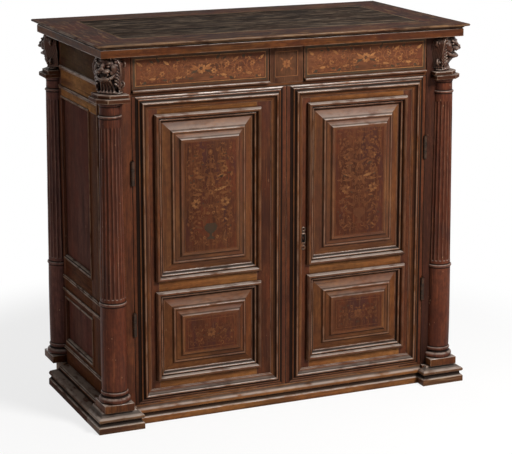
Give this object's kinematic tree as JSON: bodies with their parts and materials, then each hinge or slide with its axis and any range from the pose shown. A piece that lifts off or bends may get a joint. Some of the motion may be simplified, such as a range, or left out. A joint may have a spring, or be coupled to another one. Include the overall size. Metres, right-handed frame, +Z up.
{
  "type": "side cabinet",
  "caption": "Walnut side cabinet with panelled doors below inlaid frieze drawers, ringed corner columns, carved lion brackets, overhanging top and moulded base.",
  "frame": {"origin": "middle of the overall box on the floor", "axes": "+Z up, front towards -Y, +X to the right of someone who faces the doors"},
  "size_m": [1.147, 0.605, 1.08],
  "materials": {
    "walnut": "waxed, worn at the edges",
    "top_walnut": "dulled by use",
    "inlaid_walnut": "waxed, with floral inlay",
    "carved_walnut": "waxed, dark in the hollows",
    "plain_wood": "planed, unpolished",
    "iron": "forged, darkened"
  },
  "bodies": {
    "carcass": {"top_field": "top_walnut", "top_border": "top_walnut", "top_cornice": "walnut", "corner_posts": "walnut", "column_slabs": "walnut", "abacus_plates": "carved_walnut", "column_front_left": "walnut", "column_front_right": "walnut", "column_rear_left": "walnut", "column_rear_right": "walnut", "lion_front_left": "carved_walnut", "lion_front_right": "carved_walnut", "lion_rear_left": "carved_walnut", "lion_rear_right": "carved_walnut", "left_side_frame": "walnut", "right_side_frame": "walnut", "left_side_panels": "walnut", "right_side_panels": "walnut", "left_side_mouldings": "walnut", "right_side_mouldings": "walnut", "side_beads": "walnut", "back_rails": "plain_wood", "back_planks": "plain_wood", "floor_boards": "plain_wood", "shelf": "plain_wood", "shelf_bearers": "plain_wood", "drawer_blade": "walnut", "centre_block": "inlaid_walnut", "drawer_runners": "plain_wood", "base_blocks": "walnut", "plinth_front": "walnut", "plinth_sides": "walnut", "rear_feet": "plain_wood", "hinge_frame_leaves": "iron", "hinge_pins": "iron"},
    "left_drawer": {"left_drawer_front": "inlaid_walnut", "left_drawer_box": "plain_wood"},
    "right_drawer": {"right_drawer_front": "inlaid_walnut", "right_drawer_box": "plain_wood"},
    "left_door": {"left_door_frame": "walnut", "left_door_edge_moulding": "walnut", "left_door_upper_panel": "inlaid_walnut", "left_door_upper_moulding": "walnut", "left_door_lower_panel": "inlaid_walnut", "left_door_lower_moulding": "walnut", "left_door_hinges": "iron", "door_keep": "iron", "bolt_guides": "iron"},
    "right_door": {"right_door_frame": "walnut", "right_door_edge_moulding": "walnut", "right_door_upper_panel": "inlaid_walnut", "right_door_upper_moulding": "walnut", "right_door_lower_panel": "inlaid_walnut", "right_door_lower_moulding": "walnut", "right_door_hinges": "iron", "escutcheon": "iron", "lock_case": "iron"},
    "inside_bolt": {"inside_bolt": "iron"},
    "lock_bolt": {"lock_bolt": "iron"}
  },
  "joints": [
    {"name": "left_door_hinge", "type": "hinge", "parent": "carcass", "child": "left_door", "pos_m": [-0.451, -0.2505, 0.5], "axis": [0, 0, -1], "range_deg": [0, 90]},
    {"name": "right_door_hinge", "type": "hinge", "parent": "carcass", "child": "right_door", "pos_m": [0.451, -0.2505, 0.5], "axis": [0, 0, 1], "range_deg": [0, 90]},
    {"name": "left_drawer_slide", "type": "slide", "parent": "carcass", "child": "left_drawer", "axis": [0, -1, 0], "range_m": [0, 0.32]},
    {"name": "right_drawer_slide", "type": "slide", "parent": "carcass", "child": "right_drawer", "axis": [0, -1, 0], "range_m": [0, 0.32]},
    {"name": "lock_bolt_slide", "type": "slide", "parent": "right_door", "child": "lock_bolt", "axis": [-1, 0, 0], "range_m": [0, 0.016]},
    {"name": "inside_bolt_slide", "type": "slide", "parent": "left_door", "child": "inside_bolt", "axis": [0, 0, 1], "range_m": [0, 0.018]}
  ]
}
